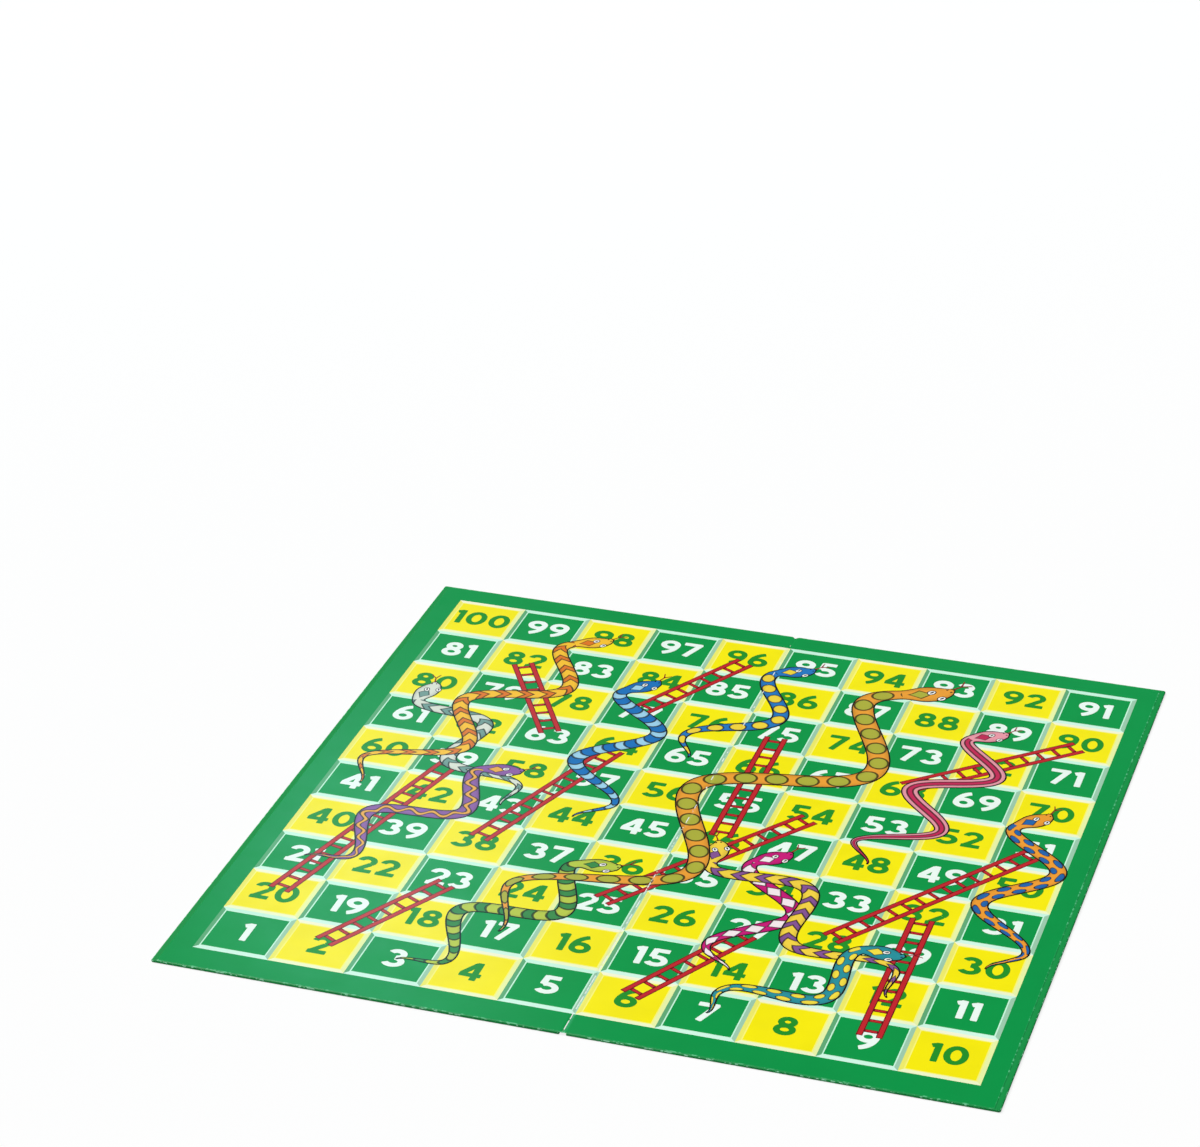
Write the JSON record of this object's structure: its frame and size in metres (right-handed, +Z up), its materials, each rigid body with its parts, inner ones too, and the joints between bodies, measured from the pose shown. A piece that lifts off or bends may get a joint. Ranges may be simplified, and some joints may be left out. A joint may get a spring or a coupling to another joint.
{
  "type": "snakes and ladders board",
  "caption": "Nearly square game board in two wrapped greyboard leaves that fold face to face on a cloth hinge, with a numbered green and yellow playing face.",
  "frame": {"origin": "middle of the open board's underside", "axes": "+X along the rows of squares and across the fold, +Y from the front row to the back row, +Z up out of the playing face"},
  "size_m": [0.375, 0.379, 0.0012],
  "materials": {
    "greyboard": "matte",
    "green_wrap": "satin",
    "hinge_cloth": "matte",
    "printed_sheet": "satin"
  },
  "bodies": {
    "left_leaf": {"left_core": "greyboard", "left_wrap": "green_wrap", "left_face_sheet": "printed_sheet", "hinge_cloth": "hinge_cloth"},
    "right_leaf": {"right_core": "greyboard", "right_wrap": "green_wrap", "right_face_sheet": "printed_sheet"}
  },
  "joints": [
    {"name": "board_fold", "type": "hinge", "parent": "left_leaf", "child": "right_leaf", "pos_m": [0, 0, 0.00135], "axis": [0, -1, 0], "range_deg": [0, 180], "deforming": ["hinge_cloth"]}
  ]
}
